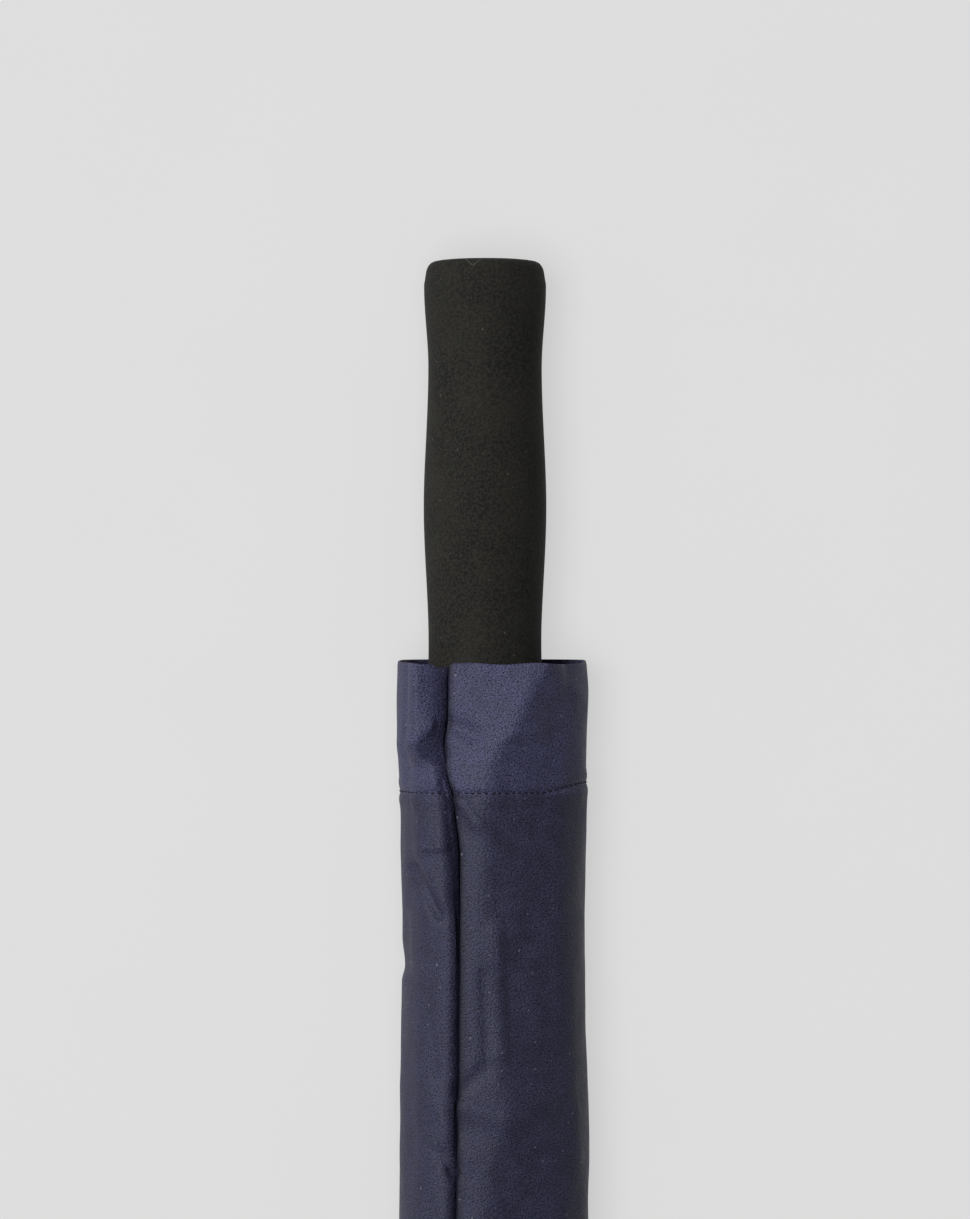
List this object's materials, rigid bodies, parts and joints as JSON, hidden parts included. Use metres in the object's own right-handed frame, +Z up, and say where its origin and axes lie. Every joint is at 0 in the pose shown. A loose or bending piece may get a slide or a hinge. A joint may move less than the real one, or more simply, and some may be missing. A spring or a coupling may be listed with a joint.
{
  "type": "stick umbrella in fabric sleeve",
  "caption": "Long straight-handled umbrella, furled inside a loose navy fabric sleeve, with a waisted black foam grip standing out of the hemmed mouth.",
  "frame": {"origin": "middle of the underside of the whole object, on the surface that the sleeve lies on", "axes": "+Y along the shaft towards the end of the grip, +Z up from the surface that the sleeve lies on, +X to the right with the grip pointing away"},
  "size_m": [0.0548, 0.97, 0.0478],
  "materials": {
    "foam": "matt closed-cell foam with a fine grain",
    "sleeve_cloth": "plain-woven polyester with a soft sheen",
    "canopy_cloth": "tightly woven, water-repellent polyester",
    "black_plastic": "moulded, fine matt texture",
    "black_nylon": "moulded nylon, satin",
    "shaft_paint": "black stove enamel, satin",
    "frame_paint": "black dipped paint, satin",
    "glass_fibre": "pultruded glass fibre with a smooth resin skin",
    "bright_steel": "plain drawn steel",
    "stud_metal": "nickel-plated, polished"
  },
  "bodies": {
    "umbrella": {"bottom_catch_pin": "bright_steel", "canopy": "canopy_cloth", "canopy_washer": "canopy_cloth", "crown": "black_nylon", "crown_wire": "bright_steel", "end_plug": "black_plastic", "ferrule": "shaft_paint", "ferrule_tip": "black_plastic", "foam_grip": "foam", "grip_collar": "black_plastic", "grip_core": "black_plastic", "joint_rivet_1": "bright_steel", "joint_rivet_2": "bright_steel", "joint_rivet_3": "bright_steel", "joint_rivet_4": "bright_steel", "joint_rivet_5": "bright_steel", "joint_rivet_6": "bright_steel", "joint_rivet_7": "bright_steel", "joint_rivet_8": "bright_steel", "rib_1": "glass_fibre", "rib_2": "glass_fibre", "rib_3": "glass_fibre", "rib_4": "glass_fibre", "rib_5": "glass_fibre", "rib_6": "glass_fibre", "rib_7": "glass_fibre", "rib_8": "glass_fibre", "rib_joint_1": "black_nylon", "rib_joint_2": "black_nylon", "rib_joint_3": "black_nylon", "rib_joint_4": "black_nylon", "rib_joint_5": "black_nylon", "rib_joint_6": "black_nylon", "rib_joint_7": "black_nylon", "rib_joint_8": "black_nylon", "rib_tip_1": "black_nylon", "rib_tip_2": "black_nylon", "rib_tip_3": "black_nylon", "rib_tip_4": "black_nylon", "rib_tip_5": "black_nylon", "rib_tip_6": "black_nylon", "rib_tip_7": "black_nylon", "rib_tip_8": "black_nylon", "runner": "black_nylon", "runner_wire": "bright_steel", "shaft": "shaft_paint", "strap_stud": "stud_metal", "stretcher_1": "frame_paint", "stretcher_2": "frame_paint", "stretcher_3": "frame_paint", "stretcher_4": "frame_paint", "stretcher_5": "frame_paint", "stretcher_6": "frame_paint", "stretcher_7": "frame_paint", "stretcher_8": "frame_paint", "tie_strap": "canopy_cloth", "top_catch_pin": "bright_steel"},
    "sleeve": {"sleeve": "sleeve_cloth"},
    "bottom_catch": {"bottom_catch": "bright_steel"},
    "top_catch": {"top_catch": "bright_steel"}
  },
  "joints": [
    {"name": "sleeve_slide", "type": "slide", "parent": "umbrella", "child": "sleeve", "axis": [0, -1, 0], "range_m": [0, 0.84]},
    {"name": "bottom_catch_press", "type": "hinge", "parent": "umbrella", "child": "bottom_catch", "pos_m": [-0.0024, 0.249, 0.024], "axis": [-1, 0, 0], "range_deg": [0, 9.5], "stiffness_Nm_per_rad": 0.05, "springref_deg": -8.59},
    {"name": "top_catch_press", "type": "hinge", "parent": "umbrella", "child": "top_catch", "pos_m": [-0.0024, -0.195, 0.024], "axis": [1, 0, 0], "range_deg": [0, 9.5], "stiffness_Nm_per_rad": 0.05, "springref_deg": -8.59}
  ]
}
